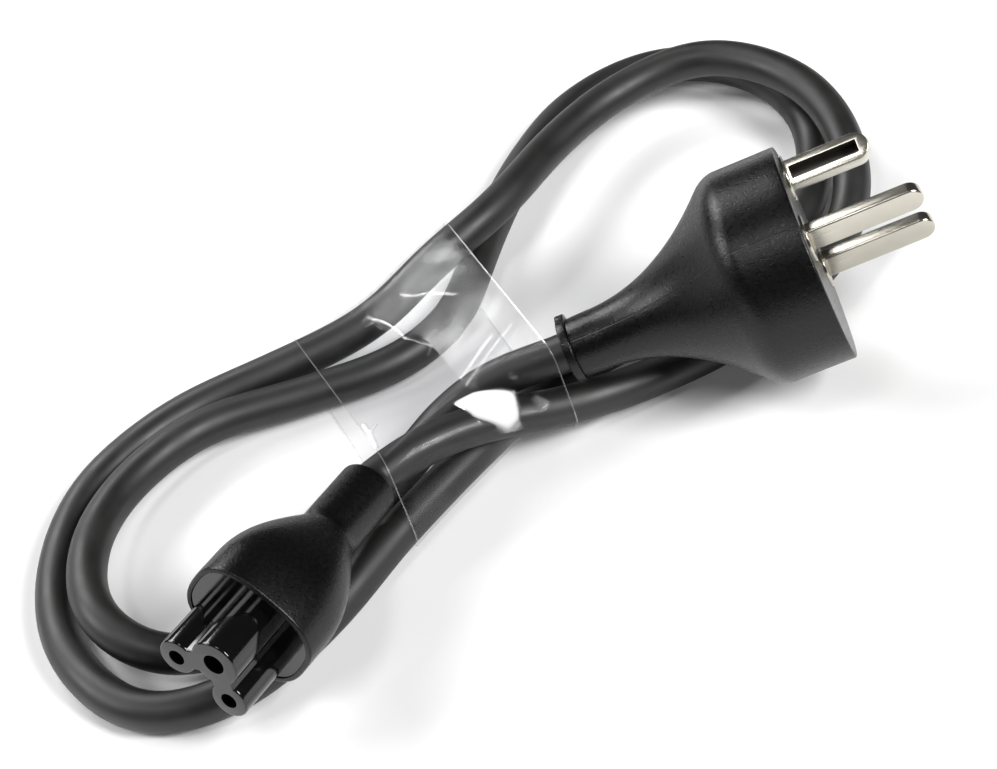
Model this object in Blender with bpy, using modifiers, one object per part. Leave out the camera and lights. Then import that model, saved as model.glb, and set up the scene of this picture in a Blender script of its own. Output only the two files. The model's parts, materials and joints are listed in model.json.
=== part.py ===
# Mains lead with a three-pin plug and a cloverleaf connector, its cord laid in two loops that a
# band of clear film holds together. Metres, +Z up, lying on the plane z = 0 as it is stored.

import bmesh
import bpy
from math import cos, hypot, pi, radians, sin
from mathutils import Matrix, Vector

OBJECT_NAME = "Cloverleaf power cord"

# The gap kept between pieces that touch on the real object
CLEARANCE = 0.0003

# Cord
CORD_DIAMETER = 0.0066
CORD_POINTS = 80
CORD_STRAIGHT = 0.004

# Plug, measured from the end of its collar, where the cord comes out, towards its face
PLUG_AT = Vector((0.0122, -0.0119, 0.0150))
PLUG_TURN = radians(-2.05)
PLUG_TILT = radians(12.83)
PLUG_ROLL = radians(32.0)
PLUG_LENGTH = 0.0429
PLUG_RADIUS = 0.0180
PLUG_RIM_LENGTH = 0.0125
PLUG_SHOULDER = 0.0022
PLUG_FACE_ROUND = 0.0004
PLUG_NECK_RADIUS = 0.0051
PLUG_NECK_LENGTH = 0.0034
PLUG_TAPER_POWER = 2.1
COLLAR_RADIUS = 0.0055
COLLAR_LENGTH = 0.0015

# Plug pins
BLADE_SPACING = 0.0190
BLADE_LENGTH = 0.0190
BLADE_WIDTH = 0.0043
BLADE_THICKNESS = 0.00235
BLADE_EDGE = 0.0003
BLADE_TURN = radians(-32.0)
EARTH_OFFSET = 0.0130
EARTH_LENGTH = 0.0141
EARTH_WIDTH = 0.0046
EARTH_DEPTH = 0.0050
EARTH_ROUND = 0.0018
EARTH_CHANNEL = 0.0022
EARTH_BACK = 0.0013
EARTH_TIP = 0.0018
EARTH_CHANNEL_START = 0.0010
PIN_ROOT = 0.0080
FLANGE_RADIUS = 0.0039
FLANGE_PROUD = 0.0004
FLANGE_SEAT = 0.0005

# Connector, measured from the end of its sleeve towards the front of its barrels
CONNECTOR_AT = Vector((-0.0239, -0.0289, 0.0129))
CONNECTOR_TURN = radians(232.0)
CONNECTOR_TILT = radians(8.8)
CONNECTOR_ROLL = radians(55.3)
SLEEVE_RADIUS = 0.0049
SLEEVE_LENGTH = 0.0130
GRIP_TAPER = 0.0160
GRIP_LENGTH = 0.0217
GRIP_HALF_WIDTH = 0.0108
GRIP_HALF_HEIGHT = 0.0086
GRIP_RISE = 0.0002
GRIP_SQUARENESS = 2.7
GRIP_EDGE = 0.0004
GRIP_RIM = 0.0008
PLATE_RECESS = 0.0002
PLATE_THICKNESS = 0.0040
BARREL_LENGTH = 0.0100
BARREL_SPACING = 0.0100
BARREL_DROP = 0.0034
BARREL_RADIUS = 0.0031
EARTH_BARREL_RISE = 0.00487
EARTH_BARREL_RADIUS = 0.0040
WEB_WIDTH = 0.0038
HOLE_RADIUS = 0.00135
EARTH_HOLE_RADIUS = 0.00175

# Contact sleeves inside the barrels
CONTACT_DEPTH = 0.0035
CONTACT_LENGTH = 0.0080
CONTACT_BORE_RADIUS = 0.00120
EARTH_CONTACT_BORE_RADIUS = 0.00160
CONTACT_WALL = 0.00040

# Film band, running across the bundle with its open ends at the two stations
BAND_TURN = radians(15.5)
BAND_START = -0.0270
BAND_END = 0.0055
BAND_SECTIONS = 10
BAND_ANGLES = 48
FILM_THICKNESS = 0.0003

# Faces along curved outlines
TURN_STEPS = 40
SMALL_TURN_STEPS = 24
ARC_STEPS = 6
OUTLINE_STEPS = 40
TAPER_STEPS = 12
FACE_ROUND_STEPS = 3
EARTH_ROUND_STEPS = 4
BLADE_EDGE_STEPS = 2
CORD_ROUND_STEPS = 4
ROUND_PROFILE = 0.5
MERGE_DISTANCE = 0.00005
CUT_MARGIN = 0.0010
SMOOTH_STEPS = 24
SHARP_ANGLE = radians(35.0)
BLADE_EDGE_ANGLE = radians(50.0)
EMPTY_SIZE = 0.01

# The cord's way from the plug to the connector: out under the connector and round the inside of the
# left loop, up and over to the far loop, back beneath the plug, round the outside of both loops, and
# up over its own strands to the connector
ROUTE = [
    (-0.0005, -0.0108, 0.0120), (-0.0065, -0.0116, 0.0096), (-0.0127, -0.0142, 0.0070),
    (-0.0185, -0.0190, 0.0048), (-0.0295, -0.0295, 0.0040), (-0.0425, -0.0408, 0.0035),
    (-0.0550, -0.0466, 0.0042), (-0.0640, -0.0446, 0.0066), (-0.0700, -0.0375, 0.0086),
    (-0.0712, -0.0275, 0.0083), (-0.0690, -0.0170, 0.0072), (-0.0624, -0.0067, 0.0061),
    (-0.0500, 0.0018, 0.0055), (-0.0330, 0.0045, 0.0042), (-0.0160, 0.0070, 0.0040),
    (-0.0050, 0.0145, 0.0040), (0.0010, 0.0260, 0.0040), (0.0065, 0.0380, 0.0035),
    (0.0150, 0.0520, 0.0035), (0.0270, 0.0645, 0.0035), (0.0435, 0.0695, 0.0035),
    (0.0585, 0.0620, 0.0035), (0.0655, 0.0465, 0.0035), (0.0635, 0.0295, 0.0035),
    (0.0545, 0.0140, 0.0035), (0.0400, 0.0045, 0.0035), (0.0220, -0.0015, 0.0040),
    (0.0060, -0.0085, 0.0040), (-0.0080, -0.0195, 0.0040), (-0.0220, -0.0320, 0.0040),
    (-0.0350, -0.0450, 0.0035), (-0.0505, -0.0552, 0.0035), (-0.0657, -0.0545, 0.0035),
    (-0.0761, -0.0394, 0.0035), (-0.0772, -0.0215, 0.0035), (-0.0703, -0.0042, 0.0035),
    (-0.0546, 0.0078, 0.0035), (-0.0360, 0.0125, 0.0042), (-0.0190, 0.0170, 0.0055),
    (-0.0060, 0.0230, 0.0103), (0.0080, 0.0325, 0.0115), (0.0200, 0.0470, 0.0096),
    (0.0340, 0.0575, 0.0092), (0.0505, 0.0593, 0.0110), (0.0636, 0.0485, 0.0114),
    (0.0690, 0.0350, 0.0100), (0.0686, 0.0220, 0.0064), (0.0625, 0.0100, 0.0038),
    (0.0505, -0.0008, 0.0035), (0.0370, -0.0077, 0.0035), (0.0220, -0.0120, 0.0041),
    (0.0110, -0.0152, 0.0063), (0.0030, -0.0175, 0.0091), (-0.0050, -0.0190, 0.0110),
    (-0.0135, -0.0213, 0.0117),
]

# What is worked out from the sizes above
PIN_LINE_X = -BLADE_SPACING / 2
PIN_NEUTRAL_X = BLADE_SPACING / 2
PLATE_FRONT = SLEEVE_LENGTH + GRIP_LENGTH - PLATE_RECESS
BARREL_FRONT = PLATE_FRONT + BARREL_LENGTH
BARRELS = {
    "line": (-BARREL_SPACING / 2, -BARREL_DROP, BARREL_RADIUS, HOLE_RADIUS, CONTACT_BORE_RADIUS),
    "neutral": (BARREL_SPACING / 2, -BARREL_DROP, BARREL_RADIUS, HOLE_RADIUS, CONTACT_BORE_RADIUS),
    "earth": (
        0.0, EARTH_BARREL_RISE - BARREL_DROP, EARTH_BARREL_RADIUS, EARTH_HOLE_RADIUS,
        EARTH_CONTACT_BORE_RADIUS,
    ),
}


def clear_scene():
    for item in list(bpy.data.objects):
        bpy.data.objects.remove(item, do_unlink=True)


def make_collection(name):
    collection = bpy.data.collections.new(name)
    bpy.context.scene.collection.children.link(collection)
    return collection


def make_material(name, colour, roughness, metallic=0.0, alpha=1.0):
    material = bpy.data.materials.new(name)
    material.use_nodes = True
    shader = material.node_tree.nodes["Principled BSDF"]
    shader.inputs["Base Color"].default_value = (*colour, 1.0)
    shader.inputs["Roughness"].default_value = roughness
    shader.inputs["Metallic"].default_value = metallic
    shader.inputs["Alpha"].default_value = alpha
    material.diffuse_color = (*colour, alpha)
    return material


def make_frame(name, parent, at=Vector(), turn=0.0, tilt=0.0, roll=0.0):
    """An empty whose +Z points the way the piece points: turned in plan, tilted up, then rolled."""
    frame = bpy.data.objects.new(name, None)
    frame.empty_display_size = EMPTY_SIZE
    parts.objects.link(frame)
    frame.parent = parent
    frame.matrix_local = (
        Matrix.Translation(at)
        @ Matrix.Rotation(turn, 4, "Z")
        @ Matrix.Rotation(pi / 2 - tilt, 4, "Y")
        @ Matrix.Rotation(roll, 4, "Z")
    )
    return frame


def add_object(name, data, parent, material=None):
    """A piece of the object, or a hidden tool where it has no material."""
    item = bpy.data.objects.new(name, data)
    if material:
        parts.objects.link(item)
        data.materials.append(material)
    else:
        cutters.objects.link(item)
        item.hide_render = True
        item.display_type = "WIRE"
    item.parent = parent
    return item


def mesh_from(name, bm):
    mesh = bpy.data.meshes.new(name)
    bm.to_mesh(mesh)
    bm.free()
    return mesh


def smooth(item):
    item.data.shade_smooth()
    item.data.set_sharp_from_angle(angle=SHARP_ANGLE)


def combine(target, other, operation):
    modifier = target.modifiers.new(f"{operation.title()} {other.name}", "BOOLEAN")
    modifier.operation = operation
    modifier.object = other


def turned(name, profile, parent, material=None, steps=TURN_STEPS, ring=False):
    """A solid of revolution about local Z, from (radius, height) points down its outer side."""
    bm = bmesh.new()
    points = [bm.verts.new((radius, 0.0, height)) for radius, height in profile]
    pairs = list(zip(points, points[1:]))
    if ring:
        pairs.append((points[-1], points[0]))
    for pair in pairs:
        bm.edges.new(pair)
    item = add_object(name, mesh_from(name, bm), parent, material)
    screw = item.modifiers.new("Turn", "SCREW")
    screw.steps = screw.render_steps = steps
    screw.use_merge_vertices = True
    screw.merge_threshold = MERGE_DISTANCE
    return item


def cylinder(name, radius, bottom, top, at, parent, steps=SMALL_TURN_STEPS):
    bm = bmesh.new()
    bmesh.ops.create_cone(
        bm, cap_ends=True, segments=steps, radius1=radius, radius2=radius, depth=top - bottom
    )
    item = add_object(name, mesh_from(name, bm), parent)
    item.location = (at[0], at[1], (top + bottom) / 2)
    return item


def box(name, size, at, parent, turn=0.0):
    bm = bmesh.new()
    bmesh.ops.create_cube(bm, size=1.0)
    bmesh.ops.scale(bm, vec=size, verts=bm.verts)
    item = add_object(name, mesh_from(name, bm), parent)
    item.location = at
    item.rotation_euler.z = turn
    return item


def arc(centre, radius, start, stop, steps=ARC_STEPS):
    turns = [start + (stop - start) * step / steps for step in range(steps + 1)]
    return [(centre[0] + radius * cos(turn), centre[1] + radius * sin(turn)) for turn in turns]


def flat_solid(name, outline, thickness):
    """The mesh of a flat outline in local XY, half its thickness to each side."""
    curve = bpy.data.curves.new(name, "CURVE")
    curve.dimensions = "2D"
    curve.fill_mode = "BOTH"
    curve.extrude = thickness / 2
    spline = curve.splines.new("POLY")
    spline.points.add(len(outline) - 1)
    for point, (x, y) in zip(spline.points, outline):
        point.co = (x, y, 0.0, 1.0)
    spline.use_cyclic_u = True
    guide = bpy.data.objects.new(name, curve)
    cutters.objects.link(guide)
    evaluated = guide.evaluated_get(bpy.context.evaluated_depsgraph_get())
    mesh = bpy.data.meshes.new_from_object(evaluated)
    bpy.data.objects.remove(guide, do_unlink=True)
    bm = bmesh.new()
    bm.from_mesh(mesh)
    bmesh.ops.remove_doubles(bm, verts=bm.verts, dist=MERGE_DISTANCE)
    bmesh.ops.recalc_face_normals(bm, faces=bm.faces)
    bm.to_mesh(mesh)
    bm.free()
    return mesh


def lofted(name, sections, parent, material=None, closed=True):
    """A skin over rings of points that all have the same number of points."""
    bm = bmesh.new()
    rings = [[bm.verts.new(point) for point in section] for section in sections]
    for ring, following in zip(rings, rings[1:]):
        count = len(ring)
        for index in range(count):
            after = (index + 1) % count
            bm.faces.new((ring[index], ring[after], following[after], following[index]))
    if closed:
        bm.faces.new(rings[0][::-1])
        bm.faces.new(rings[-1])
    bmesh.ops.recalc_face_normals(bm, faces=bm.faces)
    item = add_object(name, mesh_from(name, bm), parent, material)
    smooth(item)
    return item


def plug_profile():
    """The plug's outer side from its face down to its collar, as (radius, height) points."""
    rim_end = PLUG_LENGTH - PLUG_RIM_LENGTH
    neck_end = COLLAR_LENGTH + PLUG_NECK_LENGTH

    def taper(height):
        share = (rim_end - height) / (rim_end - neck_end)
        return PLUG_NECK_RADIUS + (PLUG_RADIUS - PLUG_NECK_RADIUS) * (1 - share) ** PLUG_TAPER_POWER

    points = [(0.0, PLUG_LENGTH)]
    round_middle = (PLUG_RADIUS - PLUG_FACE_ROUND, PLUG_LENGTH - PLUG_FACE_ROUND)
    points += arc(round_middle, PLUG_FACE_ROUND, pi / 2, 0.0, FACE_ROUND_STEPS)
    shoulder_low = rim_end - PLUG_SHOULDER
    start = Vector((PLUG_RADIUS, rim_end + PLUG_SHOULDER))
    corner = Vector((PLUG_RADIUS, rim_end))
    stop = Vector((taper(shoulder_low), shoulder_low))
    for step in range(ARC_STEPS + 1):
        share = step / ARC_STEPS
        blend = start.lerp(corner, share).lerp(corner.lerp(stop, share), share)
        points.append(tuple(blend))
    for step in range(1, TAPER_STEPS + 1):
        height = shoulder_low + (neck_end - shoulder_low) * step / TAPER_STEPS
        points.append((taper(height), height))
    points += [
        (PLUG_NECK_RADIUS, COLLAR_LENGTH),
        (COLLAR_RADIUS, COLLAR_LENGTH),
        (COLLAR_RADIUS, 0.0),
        (0.0, 0.0),
    ]
    return points


def blade_mesh(name):
    """A flat pin along local Y with a half-round tip, its root below zero."""
    half = BLADE_WIDTH / 2
    outline = [(-half, -PIN_ROOT), (half, -PIN_ROOT)]
    outline += arc((0.0, BLADE_LENGTH - half), half, 0.0, pi, 2 * ARC_STEPS)
    return flat_solid(name, outline, BLADE_THICKNESS)


def earth_mesh(name):
    """The earth pin's outer shape along local Y, with its closed back rounded at local +Z."""
    half = EARTH_WIDTH / 2
    outline = [(-half, -PIN_ROOT), (half, -PIN_ROOT)]
    outline += arc((0.0, EARTH_LENGTH - half), half, 0.0, pi, 2 * ARC_STEPS)
    mesh = flat_solid(name, outline, EARTH_DEPTH)
    bm = bmesh.new()
    bm.from_mesh(mesh)
    back = EARTH_DEPTH / 2 - MERGE_DISTANCE
    rounded = [
        edge
        for edge in bm.edges
        if len(edge.link_faces) == 2
        and all(vert.co.z > back for vert in edge.verts)
        and edge.calc_face_angle() > SHARP_ANGLE
        and any(vert.co.y > MERGE_DISTANCE - PIN_ROOT for vert in edge.verts)
    ]
    bmesh.ops.bevel(
        bm, geom=rounded, offset=EARTH_ROUND, segments=EARTH_ROUND_STEPS, profile=ROUND_PROFILE,
        affect="EDGES", clamp_overlap=True,
    )
    bm.to_mesh(mesh)
    bm.free()
    return mesh


def add_pin(name, mesh, at, turn, pocket, plug, frame, material):
    """A pin on its flange, and in the plug's face the seat and the pocket that it stands in."""
    pin = add_object(name, mesh, frame, material)
    pin.location = (at[0], at[1], PLUG_LENGTH)
    pin.rotation_euler = (pi / 2, 0.0, turn)
    flange_bottom = PLUG_LENGTH - FLANGE_SEAT + CLEARANCE
    flange = cylinder(
        f"{name}_flange", FLANGE_RADIUS, flange_bottom, PLUG_LENGTH + FLANGE_PROUD, at, frame, TURN_STEPS
    )
    combine(pin, flange, "UNION")
    seat = cylinder(
        f"{name}_seat", FLANGE_RADIUS + CLEARANCE, PLUG_LENGTH - FLANGE_SEAT, PLUG_LENGTH + CUT_MARGIN,
        at, frame, TURN_STEPS,
    )
    combine(plug, seat, "DIFFERENCE")
    depth = PIN_ROOT + CLEARANCE
    hole = box(
        f"{name}_pocket",
        (pocket[0] + 2 * CLEARANCE, pocket[1] + 2 * CLEARANCE, depth + CUT_MARGIN),
        (at[0], at[1], PLUG_LENGTH - (depth - CUT_MARGIN) / 2),
        frame,
        turn,
    )
    combine(plug, hole, "DIFFERENCE")
    return pin


def build_plug(frame, black, metal):
    plug = turned("plug_body", plug_profile(), frame, black)
    for name, x in (("pin_line", PIN_LINE_X), ("pin_neutral", PIN_NEUTRAL_X)):
        blade = add_pin(
            name, blade_mesh(name), (x, 0.0), BLADE_TURN, (BLADE_WIDTH, BLADE_THICKNESS), plug, frame, metal
        )
        edge = blade.modifiers.new("Edges", "BEVEL")
        edge.width = BLADE_EDGE
        edge.segments = BLADE_EDGE_STEPS
        edge.limit_method = "ANGLE"
        edge.angle_limit = BLADE_EDGE_ANGLE
        blade.modifiers.move(len(blade.modifiers) - 1, 0)
        smooth(blade)
    earth = add_pin(
        "pin_earth", earth_mesh("pin_earth"), (0.0, EARTH_OFFSET), pi / 2, (EARTH_WIDTH, EARTH_DEPTH),
        plug, frame, metal,
    )
    smooth(earth)
    channel_length = EARTH_LENGTH - EARTH_TIP - EARTH_CHANNEL_START
    channel = box(
        "pin_earth_channel",
        (EARTH_DEPTH - EARTH_BACK + CUT_MARGIN, EARTH_CHANNEL, channel_length),
        (
            -(EARTH_BACK + CUT_MARGIN) / 2,
            EARTH_OFFSET,
            PLUG_LENGTH + EARTH_CHANNEL_START + channel_length / 2,
        ),
        frame,
    )
    combine(earth, channel, "DIFFERENCE")


def grip_section(height, inset=0.0):
    """The connector's outline at this height: round at the sleeve, a soft rectangle at the front."""
    share = min(max((height - SLEEVE_LENGTH) / GRIP_TAPER, 0.0), 1.0)
    swell = sin(share * pi / 2)
    half_width = SLEEVE_RADIUS + (GRIP_HALF_WIDTH - SLEEVE_RADIUS) * swell - inset
    half_height = SLEEVE_RADIUS + (GRIP_HALF_HEIGHT - SLEEVE_RADIUS) * swell - inset
    power = 2 / (2 + (GRIP_SQUARENESS - 2) * swell)
    points = []
    for step in range(OUTLINE_STEPS):
        turn = 2 * pi * step / OUTLINE_STEPS
        across, up = cos(turn), sin(turn)
        x = half_width * abs(across) ** power * (1 if across > 0 else -1)
        y = half_height * abs(up) ** power * (1 if up > 0 else -1)
        points.append((x, y + GRIP_RISE * swell, height))
    return points


def build_connector(frame, black, gloss, metal):
    front = SLEEVE_LENGTH + GRIP_LENGTH
    heights = [0.0, SLEEVE_LENGTH]
    heights += [SLEEVE_LENGTH + GRIP_TAPER * step / TAPER_STEPS for step in range(1, TAPER_STEPS + 1)]
    sections = [grip_section(height) for height in heights + [front - GRIP_EDGE]]
    sections.append(grip_section(front, GRIP_EDGE))
    body = lofted("connector_body", sections, frame, black)

    plate_back = PLATE_FRONT - PLATE_THICKNESS
    inner = GRIP_RIM + CLEARANCE
    plate_rings = [
        [(x, y, height) for x, y, _ in grip_section(front, inner)] for height in (plate_back, PLATE_FRONT)
    ]
    insert = lofted("connector_insert", plate_rings, frame, gloss)
    pocket_rings = [
        [(x, y, height) for x, y, _ in grip_section(front, GRIP_RIM)]
        for height in (plate_back - CLEARANCE, front + CUT_MARGIN)
    ]
    combine(body, lofted("plate_pocket", pocket_rings, frame), "DIFFERENCE")

    root = PLATE_FRONT - PLATE_THICKNESS / 2
    for name, (x, y, radius, _, _) in BARRELS.items():
        barrel = cylinder(f"barrel_{name}", radius, root, BARREL_FRONT, (x, y), frame, TURN_STEPS)
        combine(insert, barrel, "UNION")
    earth = Vector(BARRELS["earth"][:2])
    for name in ("line", "neutral"):
        foot = Vector(BARRELS[name][:2])
        along = earth - foot
        middle = (earth + foot) / 2
        web = box(
            f"web_{name}",
            (along.length, WEB_WIDTH, BARREL_FRONT - root),
            (middle.x, middle.y, (BARREL_FRONT + root) / 2),
            frame,
            Vector((1.0, 0.0)).angle_signed(along) * -1,
        )
        combine(insert, web, "UNION")
    for name, (x, y, _, hole_radius, bore_radius) in BARRELS.items():
        outside = bore_radius + CONTACT_WALL
        top = BARREL_FRONT - CONTACT_DEPTH
        bottom = top - CONTACT_LENGTH
        mouth = cylinder(
            f"hole_{name}", hole_radius, top, BARREL_FRONT + CUT_MARGIN, (x, y), frame
        )
        combine(insert, mouth, "DIFFERENCE")
        chamber = cylinder(
            f"chamber_{name}", outside + CLEARANCE, bottom - CLEARANCE, top + CLEARANCE, (x, y), frame
        )
        combine(insert, chamber, "DIFFERENCE")
        profile = [(outside, top), (outside, bottom), (bore_radius, bottom), (bore_radius, top)]
        sleeve = turned(f"contact_{name}", profile, frame, metal, SMALL_TURN_STEPS, ring=True)
        sleeve.location = (x, y, 0.0)


def smooth_path(points):
    """A smooth curve that passes through every point of the route."""
    ends = [2 * points[0] - points[1], *points, 2 * points[-1] - points[-2]]
    path = []
    for before, start, stop, after in zip(ends, ends[1:], ends[2:], ends[3:]):
        for step in range(SMOOTH_STEPS):
            t = step / SMOOTH_STEPS
            path.append(
                start
                + (stop - before) * (t / 2)
                + (2 * before - 5 * start + 4 * stop - after) * (t**2 / 2)
                + (3 * start - before - 3 * stop + after) * (t**3 / 2)
            )
    path.append(points[-1])
    return path


def spaced(path, count):
    """This many points at even steps along the path."""
    lengths = [0.0]
    for start, stop in zip(path, path[1:]):
        lengths.append(lengths[-1] + (stop - start).length)
    points = []
    index = 0
    for step in range(count):
        wanted = lengths[-1] * step / (count - 1)
        while index < len(path) - 2 and lengths[index + 1] < wanted:
            index += 1
        share = (wanted - lengths[index]) / (lengths[index + 1] - lengths[index])
        points.append(path[index].lerp(path[index + 1], share))
    return points, lengths[-1]


def cord_path():
    """The cord's centre line, from the end of the plug's collar to the end of the connector's sleeve."""
    plug_way = plug_frame.matrix_local.to_3x3() @ Vector((0.0, 0.0, 1.0))
    connector_way = connector_frame.matrix_local.to_3x3() @ Vector((0.0, 0.0, 1.0))
    route = [PLUG_AT - plug_way * CLEARANCE, PLUG_AT - plug_way * CORD_STRAIGHT]
    route += [Vector(point) for point in ROUTE]
    route += [CONNECTOR_AT - connector_way * CORD_STRAIGHT, CONNECTOR_AT - connector_way * CLEARANCE]
    between = smooth_path(route)[SMOOTH_STEPS:-SMOOTH_STEPS]
    points, length = spaced(between, CORD_POINTS - 2)
    return [route[0], *points, route[-1]], length + 2 * (CORD_STRAIGHT - CLEARANCE)


def build_cord(path, parent, black):
    curve = bpy.data.curves.new("cord", "CURVE")
    curve.dimensions = "3D"
    curve.bevel_depth = CORD_DIAMETER / 2
    curve.bevel_resolution = CORD_ROUND_STEPS
    curve.use_fill_caps = True
    spline = curve.splines.new("POLY")
    spline.points.add(len(path) - 1)
    for point, place in zip(spline.points, path):
        point.co = (*place, 1.0)
    spline.use_smooth = True
    return add_object("cord", curve, parent, black)


def strand_cuts(path, station):
    """Where strands pass the band's plane at a station: (across, height, slant of the cut)."""
    along = Vector((cos(BAND_TURN), sin(BAND_TURN), 0.0))
    across = Vector((-sin(BAND_TURN), cos(BAND_TURN), 0.0))
    cuts = []
    for start, stop in zip(path, path[1:]):
        before = start.dot(along) - station
        after = stop.dot(along) - station
        if before * after <= 0.0 and before != after:
            place = start.lerp(stop, before / (before - after))
            slant = abs((stop - start).normalized().dot(along))
            cuts.append((place.dot(across), place.z, slant))
    return cuts


def band_section(path, station):
    """The film's taut outline around the strands that pass this station."""
    reach = CORD_DIAMETER / 2 + CLEARANCE + FILM_THICKNESS
    cuts = strand_cuts(path, station)
    points = []
    for step in range(BAND_ANGLES):
        turn = 2 * pi * (step + 0.5) / BAND_ANGLES
        best = None
        for across, height, slant in cuts:
            wide = reach / slant
            support = hypot(wide * cos(turn), reach * sin(turn))
            side = across + wide * wide * cos(turn) / support
            top = height + reach * reach * sin(turn) / support
            distance = across * cos(turn) + height * sin(turn) + support
            if best is None or distance > best[0]:
                best = (distance, side, top)
        _, side, top = best
        low = 2 * CLEARANCE
        if top < low:
            top = 0.0
        x = station * cos(BAND_TURN) - side * sin(BAND_TURN)
        y = station * sin(BAND_TURN) + side * cos(BAND_TURN)
        points.append((x, y, top))
    return points


def build_film(path, parent, clear):
    stations = [
        BAND_START + (BAND_END - BAND_START) * step / (BAND_SECTIONS - 1) for step in range(BAND_SECTIONS)
    ]
    sections = [band_section(path, station) for station in stations]
    film = lofted("wrap_film", sections, parent, clear, closed=False)
    wall = film.modifiers.new("Wall", "SOLIDIFY")
    wall.thickness = FILM_THICKNESS
    wall.offset = -1.0
    return film


def centre_on_origin(layout):
    """Moves everything so that the box around plug, connector and film stands over the origin."""
    depsgraph = bpy.context.evaluated_depsgraph_get()
    corners = []
    for item in parts.objects:
        if item.type == "EMPTY" or item.name == "cord":
            continue
        evaluated = item.evaluated_get(depsgraph)
        corners += [evaluated.matrix_world @ vert.co for vert in evaluated.data.vertices]
    for axis in (0, 1):
        values = [corner[axis] for corner in corners]
        layout.location[axis] = -(min(values) + max(values)) / 2
    bpy.context.view_layer.update()


clear_scene()
parts = make_collection(OBJECT_NAME)
cutters = make_collection("Cutters")

cord_black = make_material("cord_pvc", (0.020, 0.020, 0.021), 0.42)
plug_black = make_material("moulded_pvc", (0.018, 0.018, 0.019), 0.50)
insert_black = make_material("insert_plastic", (0.010, 0.010, 0.011), 0.12)
pin_metal = make_material("pin_metal", (0.70, 0.66, 0.60), 0.22, metallic=1.0)
contact_metal = make_material("contact_metal", (0.62, 0.56, 0.46), 0.35, metallic=1.0)
film_clear = make_material("film_clear", (0.90, 0.91, 0.92), 0.08, alpha=0.25)

layout = bpy.data.objects.new("layout", None)
parts.objects.link(layout)
plug_frame = make_frame("plug_frame", layout, PLUG_AT, PLUG_TURN, PLUG_TILT, PLUG_ROLL)
connector_frame = make_frame(
    "connector_frame", layout, CONNECTOR_AT, CONNECTOR_TURN, CONNECTOR_TILT, CONNECTOR_ROLL
)
bpy.context.view_layer.update()

centre_line, cord_length = cord_path()
build_cord(centre_line, layout, cord_black)
build_plug(plug_frame, plug_black, pin_metal)
build_connector(connector_frame, plug_black, insert_black, contact_metal)
build_film(centre_line, layout, film_clear)
bpy.context.view_layer.update()
centre_on_origin(layout)

print(f"Cord length {cord_length * 1000:.1f} mm, layout moved by {tuple(layout.location)}")
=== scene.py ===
# %% [markdown]
# # A short mains lead, dressed for its picture
# The lead is a black cord folded into two loops. One end carries a round moulded plug, the other a
# cloverleaf connector, and a band of clear film holds the bundle in the middle. The solids arrive
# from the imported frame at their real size; this file gives each of them its fine shape and finish.

# %% Load the frame
import json
from math import atan2, ceil, cos, exp, hypot, pi, radians, sin

import bmesh
import bpy
from mathutils import Matrix, Vector, noise


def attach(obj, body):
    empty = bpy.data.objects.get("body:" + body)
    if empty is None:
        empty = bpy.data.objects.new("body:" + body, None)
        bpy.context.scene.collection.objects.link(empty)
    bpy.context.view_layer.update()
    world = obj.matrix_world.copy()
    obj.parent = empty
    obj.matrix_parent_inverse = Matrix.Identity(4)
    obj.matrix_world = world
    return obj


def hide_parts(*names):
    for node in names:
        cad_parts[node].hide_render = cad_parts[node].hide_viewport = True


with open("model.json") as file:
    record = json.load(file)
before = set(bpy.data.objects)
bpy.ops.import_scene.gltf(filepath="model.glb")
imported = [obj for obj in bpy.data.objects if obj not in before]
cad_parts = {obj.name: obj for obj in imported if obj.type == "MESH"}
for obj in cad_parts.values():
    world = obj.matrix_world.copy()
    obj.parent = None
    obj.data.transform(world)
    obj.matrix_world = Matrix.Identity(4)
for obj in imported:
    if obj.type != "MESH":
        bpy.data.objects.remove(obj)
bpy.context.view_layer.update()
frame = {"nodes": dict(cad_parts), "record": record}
print("Solids in the frame:", ", ".join(sorted(frame["nodes"])))

# %% [markdown]
# Everything is placed from two local frames: one at the end of the plug's collar and one at the end
# of the connector's sleeve, where the cord comes out. Their +Z axes point the way the piece points,
# so a turned piece is simply a profile around local Z. The mount on the plug's face says where the
# whole lead lies in the object's frame.

# %% Places of the plug and the connector
PLUG_AT = Vector((0.0122, -0.0119, 0.0150))
PLUG_TURN, PLUG_TILT, PLUG_ROLL = radians(-2.05), radians(12.83), radians(32.0)
PLUG_LENGTH = 0.0429
FACE_MOUNT_AT = Vector((0.0, -0.0080, PLUG_LENGTH))
CONNECTOR_AT = Vector((-0.0239, -0.0289, 0.0129))
CONNECTOR_TURN, CONNECTOR_TILT, CONNECTOR_ROLL = radians(232.0), radians(8.8), radians(55.3)


def pointing(turn, tilt, roll):
    return (
        Matrix.Rotation(turn, 4, "Z")
        @ Matrix.Rotation(pi / 2 - tilt, 4, "Y")
        @ Matrix.Rotation(roll, 4, "Z")
    )


plug_turned = pointing(PLUG_TURN, PLUG_TILT, PLUG_ROLL)
connector_turned = pointing(CONNECTOR_TURN, CONNECTOR_TILT, CONNECTOR_ROLL)
face_mount = next(mount for mount in frame["record"]["mounts"] if mount["name"] == "plug_face")
LAYOUT = Vector(face_mount["pos_m"]) - plug_turned @ FACE_MOUNT_AT - PLUG_AT
plug_frame = Matrix.Translation(PLUG_AT + LAYOUT) @ plug_turned
connector_frame = Matrix.Translation(CONNECTOR_AT + LAYOUT) @ connector_turned
print("The lead lies at", tuple(round(value, 5) for value in LAYOUT))

# %% [markdown]
# The camera stands where the photographer's did. Its height angle, its small roll and its distance
# came from fitting the known sizes of the plug face, the pins and the barrels to their places in the
# picture, so the render can be laid over it.

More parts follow.
